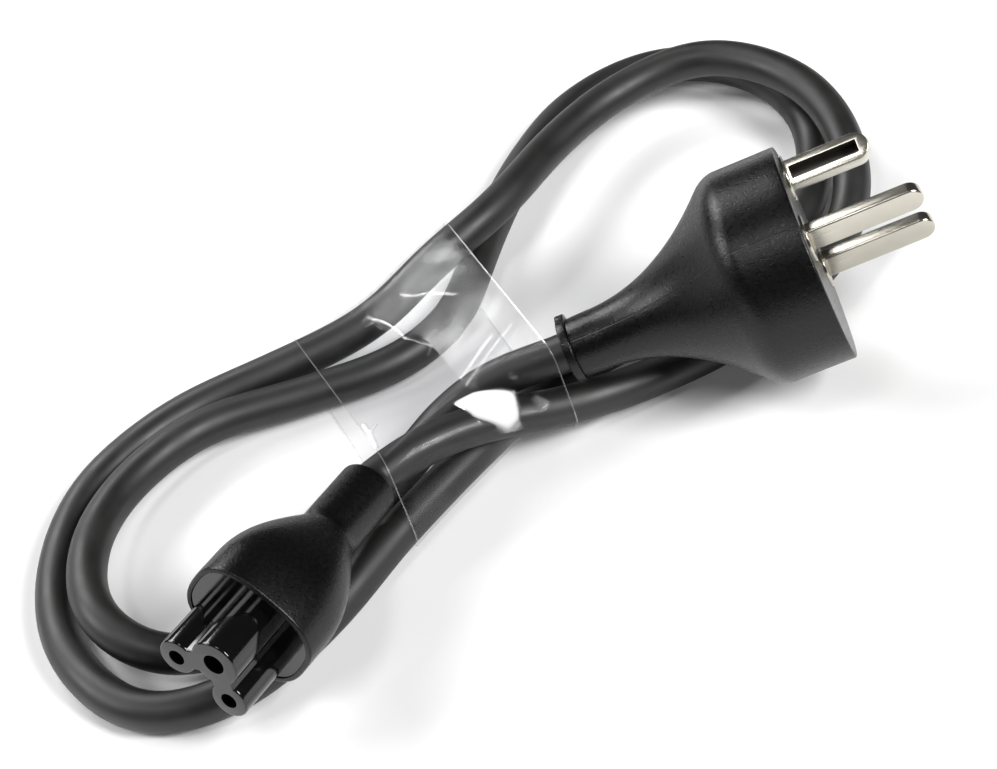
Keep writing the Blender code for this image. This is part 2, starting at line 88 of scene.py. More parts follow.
# %% Camera
VIEW_DOWN = radians(44.16)
VIEW_ROLL = radians(-14.05)
VIEW_DISTANCE = 0.4309
VIEW_ANGLE = radians(22.19)
NEAREST_SEEN = 0.01

camera_data = bpy.data.cameras.new("camera")
camera_data.sensor_fit = "HORIZONTAL"
camera_data.angle = VIEW_ANGLE
camera_data.clip_start = NEAREST_SEEN
camera = bpy.data.objects.new("camera", camera_data)
bpy.context.scene.collection.objects.link(camera)
back = Vector((0.0, -cos(VIEW_DOWN), sin(VIEW_DOWN)))
camera.matrix_world = (
    Matrix.Translation(LAYOUT + back * VIEW_DISTANCE)
    @ Matrix.Rotation(pi / 2 - VIEW_DOWN, 4, "X")
    @ Matrix.Rotation(VIEW_ROLL, 4, "Z")
)
bpy.context.scene.camera = camera
print("Camera at", tuple(round(value, 4) for value in camera.matrix_world.translation))

# %% [markdown]
# Shader maths reads best as plain expressions, so a small class wraps a socket and turns +, - and *
# into Math nodes. A second class holds one material: its `add` method makes any node from its type,
# its settings and the values of its sockets.

# %% Helpers for materials
class Number:
    def __init__(self, finish, socket):
        self.finish = finish
        self.socket = socket

    def math(self, operation, *others):
        values = dict(enumerate((self, *others)))
        return self.finish.add("ShaderNodeMath", {"operation": operation}, values)

    def __add__(self, other):
        return self.math("ADD", other)

    def __sub__(self, other):
        return self.math("SUBTRACT", other)

    def __rsub__(self, other):
        return (self * -1.0) + other

    def __mul__(self, other):
        return self.math("MULTIPLY", other)

    __radd__ = __add__
    __rmul__ = __mul__


class Finish:
    def __init__(self, name):
        self.material = bpy.data.materials.new(name)
        self.material.use_nodes = True
        self.tree = self.material.node_tree
        self.tree.nodes.clear()
        self.output = self.tree.nodes.new("ShaderNodeOutputMaterial")

    def add(self, kind, settings=None, sockets=None, output=0):
        node = self.tree.nodes.new(kind)
        for name, value in (settings or {}).items():
            setattr(node, name, value)
        for name, value in (sockets or {}).items():
            if isinstance(value, Number):
                self.tree.links.new(value.socket, node.inputs[name])
            else:
                node.inputs[name].default_value = value
        return Number(self, node.outputs[output])

    def place(self):
        """The point's place in the piece's own frame, so that textures turn with the piece."""
        return self.add("ShaderNodeAttribute", {"attribute_name": "own_place"}, output=1)

    def stretched(self, where, by):
        return self.add("ShaderNodeVectorMath", {"operation": "MULTIPLY"}, {0: where, 1: by})

    def noise(self, where, scale, detail=3.0, roughness=0.5):
        sockets = {"Vector": where, "Scale": scale, "Detail": detail, "Roughness": roughness}
        return self.add("ShaderNodeTexNoise", None, sockets)

    def band(self, value, low, high, start=0.0, stop=1.0):
        sockets = {"Value": value, "From Min": low, "From Max": high, "To Min": start, "To Max": stop}
        return self.add("ShaderNodeMapRange", {"clamp": True}, sockets)

    def tint(self, factor, *colours):
        first, second = (item if isinstance(item, Number) else (*item, 1.0) for item in colours)
        return self.add("ShaderNodeMix", {"data_type": "RGBA"}, {0: factor, 6: first, 7: second}, 2)

    def bump(self, height, strength, distance):
        sockets = {"Height": height, "Strength": strength, "Distance": distance}
        return self.add("ShaderNodeBump", None, sockets)

    def principled(self, sockets):
        return self.add("ShaderNodeBsdfPrincipled", None, sockets)

    def done(self, surface):
        self.tree.links.new(surface.socket, self.output.inputs["Surface"])
        return self.material


print("Material helpers are ready")

# %% [markdown]
# The cord's jacket is soft black PVC. It isn't mirror smooth: extrusion leaves faint streaks along
# it, and handling leaves patches that are a little duller. A painted image could show them, but it
# would need unwrapping and would blur close by, so noise makes them. Each point of the tube carries
# its place along and around the cord, so that the streaks can follow every bend.

# %% Cord jacket
MOST_NOISE = (0.3, 0.7)
JACKET_STRETCH = (0.06, 1.0, 1.0)
JACKET_STREAKS, JACKET_PATCHES, JACKET_GRAIN = 1400.0, 160.0, 5200.0
JACKET_DARK, JACKET_LIGHT = (0.0044, 0.0043, 0.0041), (0.0098, 0.0094, 0.0088)
JACKET_ROUGH = (0.44, 0.56)
JACKET_STREAK_ROUGH = 0.10
JACKET_GLOSS = 0.70
JACKET_BUMP = (0.25, 0.00008)


def cord_finish():
    finish = Finish("cord_pvc")
    where = finish.add("ShaderNodeAttribute", {"attribute_name": "cord_place"}, output=1)
    streaks = finish.noise(finish.stretched(where, JACKET_STRETCH), JACKET_STREAKS, 2.0)
    patches = finish.noise(where, JACKET_PATCHES)
    grain = finish.noise(where, JACKET_GRAIN, 2.0)
    colour = finish.tint(patches, JACKET_DARK, JACKET_LIGHT)
    rough = finish.band(patches, *MOST_NOISE, *JACKET_ROUGH) + (streaks - 0.5) * JACKET_STREAK_ROUGH
    normal = finish.bump(grain * 0.2 + streaks * 0.4 + patches * 0.6, *JACKET_BUMP)
    sockets = {
        "Base Color": colour, "Roughness": rough, "Normal": normal, "Specular IOR Level": JACKET_GLOSS
    }
    return finish.done(finish.principled(sockets))


jacket = cord_finish()
print("Made", jacket.name)

# %% [markdown]
# The plug and the connector's grip are moulded in the same black PVC. The mould is spark eroded, so
# the skin has a fine sandy grain that breaks its highlights into sparkles. Modelled grain would take
# millions of faces, so a bump makes it. Where the two halves of the mould meet there is a hair line
# along both sides of the plug, drawn wherever one coordinate is almost zero.

# %% Moulded skin
SKIN_GRAIN, SKIN_COARSE, SKIN_PATCHES = 3400.0, 1500.0, 110.0
SKIN_DARK, SKIN_LIGHT = (0.0012, 0.0012, 0.0012), (0.0034, 0.0033, 0.0032)
SKIN_COARSE_NOISE = (0.25, 0.75)
SKIN_ROUGH = (0.24, 0.35)
SKIN_GLOSS = 0.34
SKIN_BUMP = (0.85, 0.00008)
SEAM_BLACK = (0.0008, 0.0008, 0.0008)
SEAM_EDGES = (0.00005, 0.00013)


def moulded_finish(name, seam):
    finish = Finish(name)
    where = finish.place()
    grain = finish.noise(where, SKIN_GRAIN, 2.0, 0.6)
    coarse = finish.noise(where, SKIN_COARSE, 2.0)
    patches = finish.noise(where, SKIN_PATCHES, 2.0)
    height = grain * 0.8 + coarse * 0.35
    colour = finish.tint(patches, SKIN_DARK, SKIN_LIGHT)
    if seam:
        off_seam = finish.add("ShaderNodeSeparateXYZ", None, {"Vector": where}, 1).math("ABSOLUTE")
        line = finish.band(off_seam, *SEAM_EDGES, 1.0, 0.0)
        height = height - line
        colour = finish.tint(line, colour, SEAM_BLACK)
    normal = finish.bump(height, *SKIN_BUMP)
    rough = finish.band(coarse, *SKIN_COARSE_NOISE, *SKIN_ROUGH)
    sockets = {
        "Base Color": colour, "Roughness": rough, "Normal": normal, "Specular IOR Level": SKIN_GLOSS
    }
    return finish.done(finish.principled(sockets))


plug_skin = moulded_finish("plug_skin", seam=True)
grip_skin = moulded_finish("grip_skin", seam=False)
print("Made", plug_skin.name, "and", grip_skin.name)

# %% [markdown]
# The insert of the connector is a hard polished plastic that mirrors the room. A plain glossy black
# would look like glass close by, so a very faint waviness and dust-fine specks break the mirror.

# %% Polished insert
INSERT_WAVES, INSERT_SPECKS = 420.0, 9000.0
INSERT_DARK, INSERT_LIGHT = (0.0015, 0.0015, 0.0015), (0.0035, 0.0034, 0.0034)
INSERT_SPECK_NOISE = (0.35, 0.70)
INSERT_ROUGH = (0.10, 0.17)
INSERT_COAT = 0.25
INSERT_BUMP = (0.12, 0.00010)


def insert_finish():
    finish = Finish("insert_plastic")
    where = finish.place()
    waves = finish.noise(where, INSERT_WAVES, 2.0)
    specks = finish.noise(where, INSERT_SPECKS, 2.0)
    normal = finish.bump(waves + specks * 0.03, *INSERT_BUMP)
    rough = finish.band(specks, *INSERT_SPECK_NOISE, *INSERT_ROUGH)
    colour = finish.tint(waves, INSERT_DARK, INSERT_LIGHT)
    sockets = {"Base Color": colour, "Roughness": rough, "Normal": normal, "Coat Weight": INSERT_COAT}
    return finish.done(finish.principled(sockets))


polished = insert_finish()
print("Made", polished.name)

# %% [markdown]
# The pins are nickel plated brass, a warm light metal. Plugging in draws fine scratches along them.
# These are finer than a pixel, so nothing is modelled: a noise that is stretched along the pin
# drives roughness and a slight bump. The same recipe with darker colours paints shade into the
# channel of the earth pin, and with brassy ones makes the contacts.

# %% Nickel and contact metal
METAL_SCRATCHES, METAL_PATCHES = 3200.0, 260.0
METAL_BUMP = (0.05, 0.00006)


def metal_finish(name, dark, light, roughness, along, carried=False):
    finish = Finish(name)
    where = finish.add("ShaderNodeTexCoord", output=3) if carried else finish.place()
    scratches = finish.noise(finish.stretched(where, along), METAL_SCRATCHES, 3.0, 0.6)
    patches = finish.noise(where, METAL_PATCHES)
    colour = finish.tint(patches, dark, light)
    rough = finish.band(scratches, *MOST_NOISE, *roughness)
    normal = finish.bump(scratches * 0.4 + patches * 0.6, *METAL_BUMP)
    sockets = {"Base Color": colour, "Metallic": 1.0, "Roughness": rough, "Normal": normal}
    return finish.done(finish.principled(sockets))


nickel = metal_finish(
    "pin_metal", (0.50, 0.475, 0.41), (0.60, 0.57, 0.50), (0.17, 0.27), along=(1.0, 1.0, 0.05)
)
# Darker colours here are painted shade for the inside of the earth pin's channel.
channel_shade_metal = metal_finish(
    "channel_shade_metal", (0.09, 0.085, 0.077), (0.20, 0.19, 0.17), (0.38, 0.55), along=(1.0, 1.0, 1.0)
)
contact_metal = metal_finish(
    "contact_metal", (0.50, 0.42, 0.30), (0.66, 0.58, 0.44), (0.28, 0.42), along=(1.0, 1.0, 0.2),
    carried=True,
)
for name in ("contact_line", "contact_neutral", "contact_earth"):
    frame["nodes"][name].data.materials.clear()
    frame["nodes"][name].data.materials.append(contact_metal)
print("Made", nickel.name, channel_shade_metal.name, "and", contact_metal.name)

# %% [markdown]
# Clear film sends nearly all light straight through and mirrors a little of it, more at grazing
# angles. Each point of the film carries a painted highlight value, which turns the mirror into a
# matte white: painted highlights on creases, edges and one fold, and painted sheen in faint patches.
# Glass that bends the light would only darken what lies behind a wall this thin, so a see-through
# shader is mixed with a mirror instead.

# %% Clear film
FILM_MIRROR = 0.003
EDGE_MIRROR = 0.40
GRAZING_MIRROR = 0.20
GRAZING_POWER = 5.0
STREAK_TURN = radians(42.0)
STREAK_STRETCH = (9.0, 1.0, 1.0)
STREAK_MIRROR = 0.007
FILM_STREAKS, FILM_WAVES = 520.0, 130.0
FILM_STREAK_NOISE = (0.50, 0.80)
FILM_DARK, FILM_LIGHT = (0.86, 0.86, 0.87), (0.94, 0.94, 0.94)
FILM_THROUGH = (0.965, 0.965, 0.967, 1.0)
FILM_METALLIC, FILM_ROUGH, WHITE_ROUGH = 0.85, 0.08, 0.60
FULLY_WHITE = 0.6
FILM_BUMP = (0.30, 0.0010)


def film_finish(name, edge):
    finish = Finish(name)
    where = finish.place()
    turned = {"Vector": where, "Rotation": (0.0, 0.0, STREAK_TURN), "Scale": STREAK_STRETCH}
    along_pull = finish.add("ShaderNodeMapping", {"vector_type": "TEXTURE"}, turned)
    streaks = finish.noise(along_pull, FILM_STREAKS, 2.0)
    waves = finish.noise(where, FILM_WAVES, 2.0)
    # Painted highlights and painted sheen, carried by the film's points: they whiten the film and raise
    # its share.
    painted_highlight = finish.add("ShaderNodeAttribute", {"attribute_name": "painted_highlight"}, output=2)
    normal = finish.bump(waves + streaks * 0.10, *FILM_BUMP)
    facing = finish.add("ShaderNodeLayerWeight", None, {"Blend": 0.5, "Normal": normal}, 1)
    sockets = {
        "Base Color": finish.tint(waves, FILM_DARK, FILM_LIGHT),
        "Metallic": finish.band(painted_highlight, 0.0, FULLY_WHITE, FILM_METALLIC, 0.0),
        "Roughness": finish.band(painted_highlight, 0.0, FULLY_WHITE, FILM_ROUGH, WHITE_ROUGH),
        "Normal": normal,
    }
    mirror = finish.principled(sockets)
    clear = finish.add("ShaderNodeBsdfTransparent", None, {"Color": FILM_THROUGH})
    streaked = finish.band(streaks, *FILM_STREAK_NOISE, 0.0, STREAK_MIRROR)
    grazing = facing.math("POWER", GRAZING_POWER) * GRAZING_MIRROR
    factor = grazing + (EDGE_MIRROR if edge else FILM_MIRROR) + streaked + painted_highlight
    share = factor.math("MINIMUM", 1.0)
    return finish.done(finish.add("ShaderNodeMixShader", None, {0: share, 1: clear, 2: mirror}))


film_clear = film_finish("film_clear", edge=False)
film_edge = film_finish("film_edge", edge=True)
print("Made", film_clear.name, "and", film_edge.name)

# %% [markdown]
# Most pieces here are skins over rings of points: a tube round a path, a profile turned about an
# axis, or a loft from one outline to another. One helper builds them all. A piece rides on the
# frame's only body and takes the place of its plain solid.

# %% Helpers for pieces
MERGE = 0.000004
SOFTENED_ANGLE = radians(50.0)


def finish_piece(piece, node, materials, sharp=40.0):
    piece.data.materials.clear()
    for material in materials:
        piece.data.materials.append(material)
    piece.data.shade_smooth()
    piece.data.set_sharp_from_angle(angle=radians(sharp))
    own_place = piece.data.attributes.new("own_place", "FLOAT_VECTOR", "POINT")
    for item, vert in zip(own_place.data, piece.data.vertices):
        item.vector = vert.co
    piece.data.transform(piece.matrix_world)
    piece.matrix_world = Matrix()
    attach(piece, "root")
    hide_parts(node)
    print(piece.name, "stands for", node, "with", len(piece.data.polygons), "faces")
    return piece


def link(name, bm, at=None):
    mesh = bpy.data.meshes.new(name)
    bm.to_mesh(mesh)
    bm.free()
    piece = bpy.data.objects.new(name, mesh)
    bpy.context.scene.collection.objects.link(piece)
    if at is not None:
        piece.matrix_world = at
    return piece


def skin(name, rings, at=None, caps=True):
    """Joins each ring of points to the next with quads, and closes both ends with caps."""
    bm = bmesh.new()
    made = [[bm.verts.new(point) for point in ring] for ring in rings]
    for ring, following in zip(made, made[1:]):
        for index in range(len(ring)):
            after = (index + 1) % len(ring)
            bm.faces.new((ring[index], ring[after], following[after], following[index]))
    if caps:
        bm.faces.new(made[0][::-1])
        bm.faces.new(made[-1])
    bmesh.ops.recalc_face_normals(bm, faces=bm.faces)
    return link(name, bm, at)


def arc(centre, radius, start, stop, steps):
    turns = [start + (stop - start) * step / steps for step in range(steps + 1)]
    return [(centre[0] + radius * cos(turn), centre[1] + radius * sin(turn)) for turn in turns]


def circle(radius, height, steps, centre=(0.0, 0.0)):
    turns = [2 * pi * step / steps for step in range(steps)]
    return [(centre[0] + radius * cos(turn), centre[1] + radius * sin(turn), height) for turn in turns]


def applied(piece):
    """Swaps the piece's modifiers for the mesh that they make."""
    bpy.context.view_layer.update()
    mesh = bpy.data.meshes.new_from_object(piece.evaluated_get(bpy.context.evaluated_depsgraph_get()))
    piece.modifiers.clear()
    piece.data = mesh
    return piece


def combine(piece, other, operation):
    bpy.context.view_layer.update()
    modifier = piece.modifiers.new(operation, "BOOLEAN")
    modifier.operation = operation
    modifier.object = other
    applied(piece)
    bpy.data.objects.remove(other, do_unlink=True)
    return piece


def soften(piece, width, segments):
    """Rounds the edges where faces meet at more than SOFTENED_ANGLE."""
    modifier = piece.modifiers.new("Edges", "BEVEL")
    modifier.width = width
    modifier.segments = segments
    modifier.limit_method = "ANGLE"
    modifier.angle_limit = SOFTENED_ANGLE
    return applied(piece)


print("Piece helpers are ready")

# %% [markdown]
# The cord is one length of 6.6 mm lead, about 84 cm from collar to sleeve. Its way is a list of
# points: out of the plug, under the connector, round the inside of the left loop, up
# to the far loop and back beneath the plug, then round the outside of both loops, and up over its
# own strands into the connector. A smooth curve through the points, eased a little, gives the
# centre line, and a ring of points carried along it without twisting gives the skin.

# %% The cord's way
CORD_DIAMETER = 0.0066
CORD_STRAIGHT = 0.004
END_GAP = 0.00005
CORD_STEP = 0.0010
CORD_SIDES = 28
SMOOTH_STEPS = 24
EASING = 30
CORES = 3
CORE_LAY = 0.055
CORE_SHOWING = 0.006

ROUTE = [
    (-0.0005, -0.0108, 0.0120), (-0.0065, -0.0116, 0.0096), (-0.0127, -0.0142, 0.0070),
    (-0.0185, -0.0190, 0.0048), (-0.0295, -0.0295, 0.0040), (-0.0425, -0.0408, 0.0035),
    (-0.0550, -0.0466, 0.0042), (-0.0640, -0.0446, 0.0066), (-0.0700, -0.0375, 0.0086),
    (-0.0712, -0.0275, 0.0083), (-0.0690, -0.0170, 0.0072), (-0.0624, -0.0067, 0.0061),
    (-0.0500, 0.0018, 0.0055), (-0.0330, 0.0045, 0.0042), (-0.0160, 0.0070, 0.0040),
    (-0.0050, 0.0145, 0.0040), (0.0010, 0.0260, 0.0040), (0.0065, 0.0380, 0.0035),
    (0.0150, 0.0520, 0.0035), (0.0270, 0.0645, 0.0035), (0.0435, 0.0695, 0.0035),
    (0.0585, 0.0620, 0.0035), (0.0655, 0.0465, 0.0035), (0.0635, 0.0295, 0.0035),
    (0.0545, 0.0140, 0.0035), (0.0400, 0.0045, 0.0035), (0.0220, -0.0015, 0.0040),
    (0.0060, -0.0085, 0.0040), (-0.0080, -0.0195, 0.0040), (-0.0220, -0.0320, 0.0040),
    (-0.0350, -0.0450, 0.0035), (-0.0505, -0.0552, 0.0035), (-0.0657, -0.0545, 0.0035),
    (-0.0761, -0.0394, 0.0035), (-0.0772, -0.0215, 0.0035), (-0.0703, -0.0042, 0.0035),
    (-0.0546, 0.0078, 0.0035), (-0.0360, 0.0125, 0.0042), (-0.0190, 0.0170, 0.0055),
    (-0.0060, 0.0230, 0.0103), (0.0080, 0.0325, 0.0115), (0.0200, 0.0470, 0.0096),
    (0.0340, 0.0575, 0.0092), (0.0505, 0.0593, 0.0110), (0.0636, 0.0485, 0.0114),
    (0.0690, 0.0350, 0.0100), (0.0686, 0.0220, 0.0064), (0.0625, 0.0100, 0.0038),
    (0.0505, -0.0008, 0.0035), (0.0370, -0.0077, 0.0035), (0.0220, -0.0120, 0.0041),
    (0.0110, -0.0152, 0.0063), (0.0030, -0.0175, 0.0091), (-0.0050, -0.0190, 0.0110),
    (-0.0135, -0.0213, 0.0117),
]


def smooth_path(points):
    ends = [2 * points[0] - points[1], *points, 2 * points[-1] - points[-2]]
    path = []
    for before, start, stop, after in zip(ends, ends[1:], ends[2:], ends[3:]):
        for step in range(SMOOTH_STEPS):
            t = step / SMOOTH_STEPS
            path.append(
                start
                + (stop - before) * (t / 2)
                + (2 * before - 5 * start + 4 * stop - after) * (t**2 / 2)
                + (3 * start - before - 3 * stop + after) * (t**3 / 2)
            )
    return path + [points[-1]]


def spaced(path, gap):
    lengths = [0.0]
    for start, stop in zip(path, path[1:]):
        lengths.append(lengths[-1] + (stop - start).length)
    count = ceil(lengths[-1] / gap)
    points = []
    index = 0
    for step in range(count + 1):
        wanted = lengths[-1] * step / count
        while index < len(path) - 2 and lengths[index + 1] < wanted:
            index += 1
        share = (wanted - lengths[index]) / (lengths[index + 1] - lengths[index])
        points.append(path[index].lerp(path[index + 1], share))
    return points


def eased(path, rounds):
    """Averages each point with its neighbours, which evens out the bends and keeps the ends."""
    for _ in range(rounds):
        inner = [(a + 2 * b + c) / 4 for a, b, c in zip(path[2:], path[3:-3], path[4:])]
        path = path[:3] + inner + path[-3:]
    return path


plug_way = plug_turned @ Vector((0.0, 0.0, 1.0))
connector_way = connector_turned @ Vector((0.0, 0.0, 1.0))
route = [PLUG_AT - plug_way * END_GAP, PLUG_AT - plug_way * CORD_STRAIGHT]
route += [Vector(point) for point in ROUTE]
route += [CONNECTOR_AT - connector_way * CORD_STRAIGHT, CONNECTOR_AT - connector_way * END_GAP]
centre_line = eased(spaced(smooth_path(route), CORD_STEP), EASING)
centre_line = [point + LAYOUT for point in centre_line]
cord_length = sum((b - a).length for a, b in zip(centre_line, centre_line[1:]))
print(f"The cord is {cord_length * 1000:.0f} mm long, in {len(centre_line)} points")

# %% [markdown]
# Inside the cord three cores are twisted round each other, and they press through the jacket ever so
# faintly. A curve with a round bevel would make a perfect tube. Rings made one by one let the radius
# follow the cores, and let each point keep its place for the streaks.

# %% The cord's skin
def tube(name, path, radius, sides):
    rings, places = [], []
    travelled = 0.0
    side = Vector((0.0, 0.0, 1.0)).cross(path[1] - path[0]).normalized()
    for index, point in enumerate(path):
        along = (path[min(index + 1, len(path) - 1)] - path[max(index - 1, 0)]).normalized()
        side = (side - along * side.dot(along)).normalized()
        up = along.cross(side)
        if index:
            travelled += (point - path[index - 1]).length
        ring = []
        for step in range(sides):
            turn = 2 * pi * step / sides
            lay = turn + 2 * pi * travelled / CORE_LAY
            here = radius * (1.0 - CORE_SHOWING * (0.5 + 0.5 * cos(CORES * lay)))
            ring.append(point + side * (here * cos(turn)) + up * (here * sin(turn)))
            places.append((travelled, radius * cos(turn), radius * sin(turn)))
        rings.append(ring)
    piece = skin(name, rings)
    place = piece.data.attributes.new("cord_place", "FLOAT_VECTOR", "POINT")
    for item, value in zip(place.data, places):
        item.vector = value
    return piece


cord = tube("cord_jacket", centre_line, CORD_DIAMETER / 2, CORD_SIDES)
finish_piece(cord, "cord", [jacket], sharp=60.0)

# %% [markdown]
# The plug is a body of revolution: a 36 mm rim, a rounded shoulder and a long hollow taper that
# falls to a slim neck, which acts as the strain relief, and a thin collar where the cord comes out.
# A power curve gives the taper its hollow, so only a handful of sizes set the whole outline.

# %% The plug's moulding
PLUG_RADIUS = 0.0180
PLUG_RIM_LENGTH = 0.0125
PLUG_SHOULDER = 0.0022
PLUG_FACE_ROUND = 0.0004
PLUG_NECK_RADIUS = 0.0051
PLUG_NECK_LENGTH = 0.0034
PLUG_TAPER_POWER = 2.1
COLLAR_RADIUS = 0.0055
COLLAR_LENGTH = 0.0015
COLLAR_ROUND = 0.00025
COLLAR_GROOVE = 0.00015
CORD_SEAT = 0.0004
MOUTH_DEPTH = 0.0001
FACE_RINGS = (0.0040, 0.0090, 0.0140)
RIM_STEPS, SHOULDER_STEPS, TAPER_STEPS = 6, 14, 48
FACE_ROUND_STEPS, COLLAR_ROUND_STEPS = 5, 4
PLUG_SIDES = 160
TAB_TURN = radians(105.0)
TAB_WIDTH = radians(15.0)
TAB_RISE = 0.0005


def plug_profile():
    rim_end = PLUG_LENGTH - PLUG_RIM_LENGTH
    neck_end = COLLAR_LENGTH + PLUG_NECK_LENGTH

    def taper(height):
        share = (rim_end - height) / (rim_end - neck_end)
        return PLUG_NECK_RADIUS + (PLUG_RADIUS - PLUG_NECK_RADIUS) * (1 - share) ** PLUG_TAPER_POWER

    face_round = (PLUG_RADIUS - PLUG_FACE_ROUND, PLUG_LENGTH - PLUG_FACE_ROUND)
    points = [(radius, PLUG_LENGTH) for radius in FACE_RINGS]
    points += arc(face_round, PLUG_FACE_ROUND, pi / 2, 0.0, FACE_ROUND_STEPS)
    rim_low = rim_end + PLUG_SHOULDER
    rim_step = (face_round[1] - rim_low) / RIM_STEPS
    points += [(PLUG_RADIUS, rim_low + rim_step * step) for step in range(RIM_STEPS - 1, 0, -1)]
    low = rim_end - PLUG_SHOULDER
    start, corner = Vector((PLUG_RADIUS, rim_low)), Vector((PLUG_RADIUS, rim_end))
    stop = Vector((taper(low), low))
    for step in range(SHOULDER_STEPS + 1):
        share = step / SHOULDER_STEPS
        points.append(tuple(start.lerp(corner, share).lerp(corner.lerp(stop, share), share)))
    for step in range(1, TAPER_STEPS + 1):
        height = low + (neck_end - low) * step / TAPER_STEPS
        points.append((taper(height), height))
    points.append((PLUG_NECK_RADIUS - COLLAR_GROOVE * 2 / 3, COLLAR_LENGTH + CORD_SEAT))
    points.append((PLUG_NECK_RADIUS - COLLAR_GROOVE, COLLAR_LENGTH))
    outer = COLLAR_RADIUS - COLLAR_ROUND
    points += arc((outer, COLLAR_LENGTH - COLLAR_ROUND), COLLAR_ROUND, pi / 2, 0.0, COLLAR_ROUND_STEPS)
    points += arc((outer, COLLAR_ROUND), COLLAR_ROUND, 0.0, -pi / 2, COLLAR_ROUND_STEPS)
    points += [(CORD_DIAMETER / 2 + CORD_SEAT, 0.0), (CORD_DIAMETER / 2 - CORD_SEAT, MOUTH_DEPTH)]
    return points


def turned_ring(radius, height):
    ring = []
    for x, y, z in circle(radius, height, PLUG_SIDES):
        away = (atan2(y, x) - TAB_TURN) / TAB_WIDTH
        on_collar = radius > PLUG_NECK_RADIUS and height < COLLAR_LENGTH + MERGE
        rise = TAB_RISE * exp(-(away**4)) if on_collar else 0.0
        grow = 1 + rise / radius
        ring.append((x * grow, y * grow, z))
    return ring


plug = skin("plug_moulding", [turned_ring(*point) for point in plug_profile()], plug_frame)
finish_piece(plug, "plug_body", [plug_skin])

# %% [markdown]
# Two flat pins with half-round tips stand 19 mm apart and are turned 32 degrees, and a U-shaped
# earth pin stands 13 mm to the side of their line. Each one has a round flange that lies on the
# face. A pin is an outline drawn flat and given its thickness, and its edges are then softened.

# %% The pins
BLADE_SPACING = 0.0190
BLADE_LENGTH = 0.0190
BLADE_WIDTH = 0.0043
BLADE_THICKNESS = 0.00235
BLADE_TURN = radians(-32.0)
EARTH_OFFSET = 0.0130
EARTH_LENGTH = 0.0141
EARTH_WIDTH = 0.0046
EARTH_DEPTH = 0.0050
EARTH_ROUND = 0.0018
EARTH_CHANNEL = 0.0022
EARTH_BACK = 0.0013
EARTH_TIP = 0.0018
FLANGE_RADIUS = 0.0039
FLANGE_PROUD = 0.0004
FLANGE_GAP = 0.00002
FLANGE_ROUND = 0.00015
FLANGE_ROUND_STEPS = 4
FLANGE_SIDES = 96
BLADE_EDGE = 0.00042
BLADE_EDGE_STEPS = 5
EARTH_ROUND_STEPS = 8
EARTH_EDGE = 0.0002
EARTH_EDGE_STEPS = 3
TIP_STEPS = 24


def slab(name, outline, thickness, at):
    """A flat outline in local X and Z, half its thickness to each side in Y."""
    bottom = [(x, -thickness / 2, z) for x, z in outline]
    top = [(x, thickness / 2, z) for x, z in outline]
    return skin(name, [bottom, top], at)


def tall_outline(width, length, root):
    half = width / 2
    return [(half, root)] + arc((0.0, length - half), half, 0.0, pi, TIP_STEPS) + [(-half, root)]


def flange(name, at):
    low, high = PLUG_LENGTH + FLANGE_GAP, PLUG_LENGTH + FLANGE_PROUD
    middle = (FLANGE_RADIUS - FLANGE_ROUND, high - FLANGE_ROUND)
    rings = [(FLANGE_RADIUS, low), *arc(middle, FLANGE_ROUND, 0.0, pi / 2, FLANGE_ROUND_STEPS)]
    return skin(name, [circle(radius, z, FLANGE_SIDES) for radius, z in rings], at)


blade_root = PLUG_LENGTH + FLANGE_PROUD / 2
for name, x in (("pin_line", -BLADE_SPACING / 2), ("pin_neutral", BLADE_SPACING / 2)):
    at = plug_frame @ Matrix.Translation((x, 0.0, 0.0)) @ Matrix.Rotation(BLADE_TURN, 4, "Z")
    outline = tall_outline(BLADE_WIDTH, PLUG_LENGTH + BLADE_LENGTH, blade_root)
    blade = soften(slab(f"{name}_blade", outline, BLADE_THICKNESS, at), BLADE_EDGE, BLADE_EDGE_STEPS)
    combine(blade, flange(f"{name}_flange", at), "UNION")
    finish_piece(blade, name, [nickel], sharp=30.0)

# %% [markdown]
# The earth pin is a U: a broad round back and a square mouth. A sheet could be folded round to make
# it, but cutting it from a bar is simpler. The bar's back edges get a wide bevel and its front edges
# a small one, before anything is cut.

# %% The earth pin
ROUND_PROFILE = 0.5
at = plug_frame @ Matrix.Translation((0.0, EARTH_OFFSET, 0.0)) @ Matrix.Rotation(pi / 2, 4, "Z")
outline = tall_outline(EARTH_WIDTH, PLUG_LENGTH + EARTH_LENGTH, blade_root)
earth = slab("pin_earth_channel", outline, EARTH_DEPTH, at)
bm = bmesh.new()
bm.from_mesh(earth.data)
back_side = EARTH_DEPTH / 2 - MERGE
rounded = [edge for edge in bm.edges if all(vert.co.y < -back_side for vert in edge.verts)]
front_edges = [edge for edge in bm.edges if all(vert.co.y > back_side for vert in edge.verts)]
for edges, offset, steps in (
    (rounded, EARTH_ROUND, EARTH_ROUND_STEPS), (front_edges, EARTH_EDGE, EARTH_EDGE_STEPS)
):
    bmesh.ops.bevel(
        bm, geom=edges, offset=offset, segments=steps, profile=ROUND_PROFILE, affect="EDGES"
    )
bm.to_mesh(earth.data)
bm.free()
print("The earth pin's shell has", len(earth.data.polygons), "faces")

# %% [markdown]
# The channel of the earth pin runs from just above the flange to the bullet-shaped tip. Its floor is
# rounded, so the tool that cuts it is a slab with a rounded lower edge.

